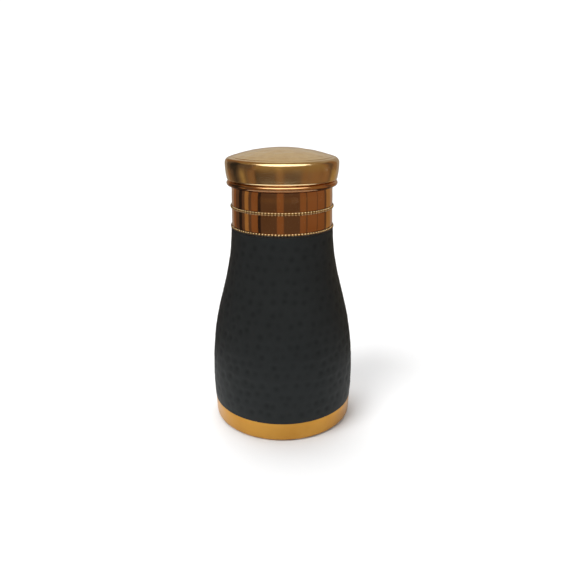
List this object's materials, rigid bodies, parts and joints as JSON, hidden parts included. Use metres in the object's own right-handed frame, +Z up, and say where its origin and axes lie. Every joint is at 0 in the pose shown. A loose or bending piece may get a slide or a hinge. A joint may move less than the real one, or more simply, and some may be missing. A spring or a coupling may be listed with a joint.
{
  "type": "water bottle with tumbler lid",
  "caption": "Beaten copper bedside water bottle with a blackened barrel, beaded neck and a lift-off domed lid that carries a drinking tumbler.",
  "frame": {"origin": "middle of the foot, on the plane that the bottle stands on", "axes": "+Z up along the bottle's axis, which is also the way the lid lifts out; the bottle is round, so +X and +Y are free"},
  "size_m": [0.1144, 0.1144, 0.2156],
  "materials": {
    "base_pan": "satin, brushed round",
    "barrel": "matt black coat over beaten copper",
    "neck_sleeve": "polished copper",
    "rim_wire": "drawn wire",
    "bead_ring": "polished",
    "lid_cap": "beaten and polished",
    "lid_base_ring": "satin",
    "tumbler_cup": "plain copper"
  },
  "bodies": {
    "bottle": {"base_pan": "base_pan", "barrel": "barrel", "neck_sleeve": "neck_sleeve", "rim_wire": "rim_wire", "lower_bead_ring": "bead_ring", "upper_bead_ring": "bead_ring"},
    "lid": {"lid_cap": "lid_cap", "lid_base_ring": "lid_base_ring", "tumbler_cup": "tumbler_cup"}
  },
  "joints": [
    {"name": "lid_lift", "type": "slide", "parent": "bottle", "child": "lid", "axis": [0, 0, 1], "range_m": [0, 0.12]}
  ]
}
